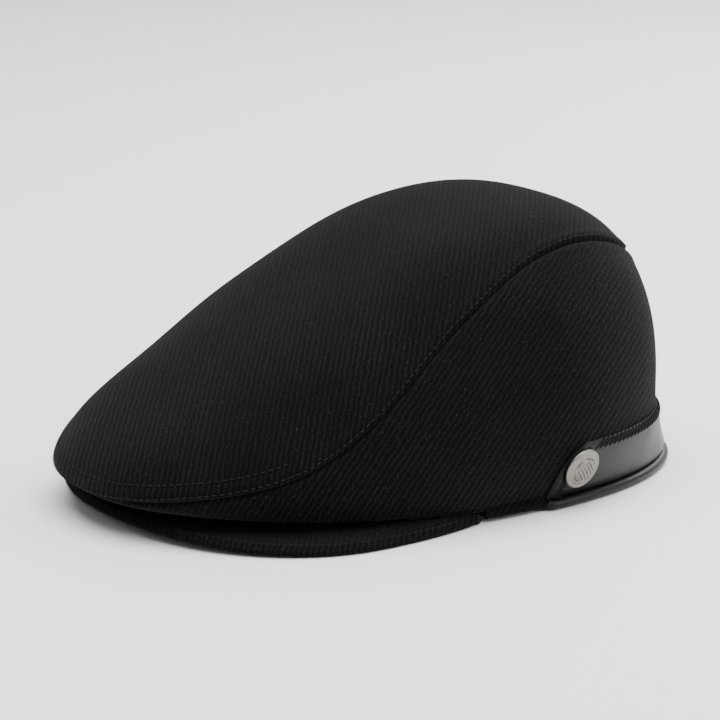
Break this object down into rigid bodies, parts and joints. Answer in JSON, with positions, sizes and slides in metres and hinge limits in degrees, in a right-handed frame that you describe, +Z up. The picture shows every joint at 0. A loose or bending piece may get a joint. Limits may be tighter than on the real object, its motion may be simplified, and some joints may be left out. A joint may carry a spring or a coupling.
{
  "type": "duckbill flat cap",
  "caption": "Wool duckbill flat cap: domed crown of a top and two side panels, stiff tilting brim, lining, sweatband, leather back strap with tack buttons.",
  "frame": {"origin": "middle of the head opening, on the surface the cap rests on", "axes": "+Z up, front of the cap at -Y, wearer's left at +X"},
  "size_m": [0.1898, 0.2691, 0.1146],
  "materials": {
    "wool": "near-black wool twill",
    "interlining": "bonded non-woven",
    "lining": "satin lining",
    "sweatband": "ribbed cotton band",
    "leather": "smooth, polished",
    "cord": "cotton filler cord",
    "board": "flexible brim board",
    "foam": "thin foam",
    "nickel": "brushed nickel",
    "steel": "plain"
  },
  "bodies": {
    "cap": {"crown_top_panel": "wool", "crown_side_panel_left": "wool", "crown_side_panel_right": "wool", "hem_binding_left": "wool", "hem_binding_right": "wool", "crown_interlining": "interlining", "lining_top_panel": "lining", "lining_side_panel_left": "lining", "lining_side_panel_right": "lining", "sweatband": "sweatband", "sweatband_join_tape": "sweatband", "back_strap": "leather", "strap_piping": "leather", "piping_cord": "cord", "button_shank_left": "steel", "button_shank_right": "steel", "button_tack_left": "steel", "button_tack_right": "steel"},
    "brim": {"brim_board": "board", "brim_padding": "foam", "brim_lower_cover": "wool", "brim_upper_cover": "wool"},
    "button_left": {"button_face_left": "nickel"},
    "button_right": {"button_face_right": "nickel"}
  },
  "joints": [
    {"name": "brim_tilt", "type": "hinge", "parent": "cap", "child": "brim", "pos_m": [0, -0.024, 0.003], "axis": [1, 0, 0], "range_deg": [0, 6], "stiffness_Nm_per_rad": 1.5},
    {"name": "button_left_turn", "type": "hinge", "parent": "cap", "child": "button_left", "pos_m": [0.08987, 0.01762, 0.01765], "axis": [0.9351, 0.1593, -0.3167], "continuous": true},
    {"name": "button_right_turn", "type": "hinge", "parent": "cap", "child": "button_right", "pos_m": [-0.08987, 0.01762, 0.01765], "axis": [-0.9351, 0.1593, -0.3167], "continuous": true}
  ]
}
